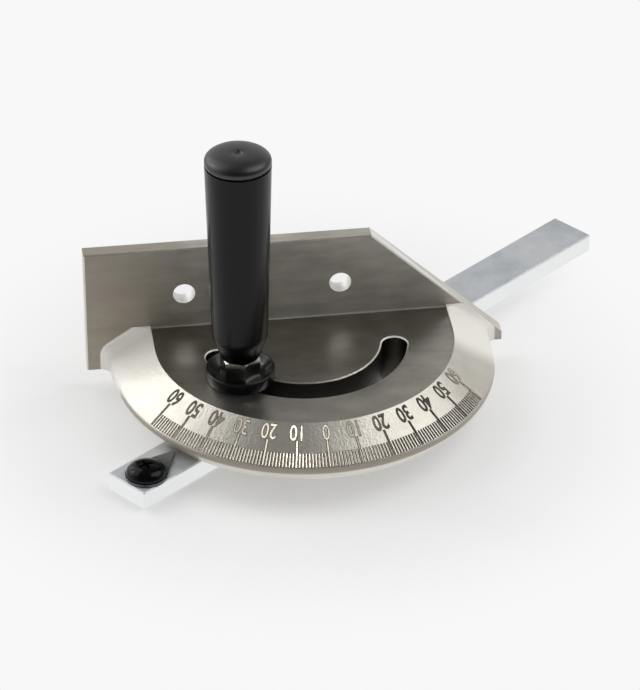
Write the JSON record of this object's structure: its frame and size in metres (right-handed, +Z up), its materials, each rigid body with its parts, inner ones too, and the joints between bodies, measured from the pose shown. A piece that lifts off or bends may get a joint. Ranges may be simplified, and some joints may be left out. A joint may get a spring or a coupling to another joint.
{
  "type": "miter gauge",
  "caption": "Miter gauge: a cast head with a degree scale, curved slot and upright fence swivels on a flat guide bar and is clamped by a turned handle.",
  "frame": {"origin": "on the axis that the head turns about, at the underside of the bar", "axes": "+Z up, +X along the fence towards its sloping end, +Y the way the fence's working face looks, away from the handle"},
  "size_m": [0.174, 0.1462, 0.1021],
  "materials": {
    "bar_steel": "cold drawn flat bar, bright with light handling marks",
    "cast_alloy": "bead blasted casting, fence and floor machined",
    "plain_steel": "plain turned steel",
    "black_steel": "black oxide, glossy",
    "plated_steel": "bright plated hexagon",
    "black_grip": "black moulded plastic, semi-gloss",
    "black_cap": "black moulded plastic, glossy",
    "blued_steel": "dark blued sheet steel"
  },
  "bodies": {
    "bar": {"bar": "bar_steel", "clamp_stud": "plain_steel", "lock_washer": "black_steel", "pointer_screw": "black_steel"},
    "head": {"head": "cast_alloy", "pivot_screw": "plain_steel"},
    "handle": {"handle_nut": "plated_steel", "handle_grip": "black_grip", "handle_cap": "black_cap"},
    "pointer": {"pointer": "blued_steel"}
  },
  "joints": [
    {"name": "head_swivel", "type": "hinge", "parent": "bar", "child": "head", "pos_m": [0, 0, 0.00635], "axis": [0, 0, 1], "range_deg": [-131.5, 28]},
    {"name": "handle_turn", "type": "hinge", "parent": "bar", "child": "handle", "pos_m": [-0.02232, -0.01756, 0.0252], "axis": [0, 0, 1], "range_deg": [0, 360]},
    {"name": "pointer_adjust", "type": "hinge", "parent": "bar", "child": "pointer", "pos_m": [-0.05475, -0.04524, 0.0069], "axis": [0, 0, 1], "range_deg": [-28, 8]}
  ]
}
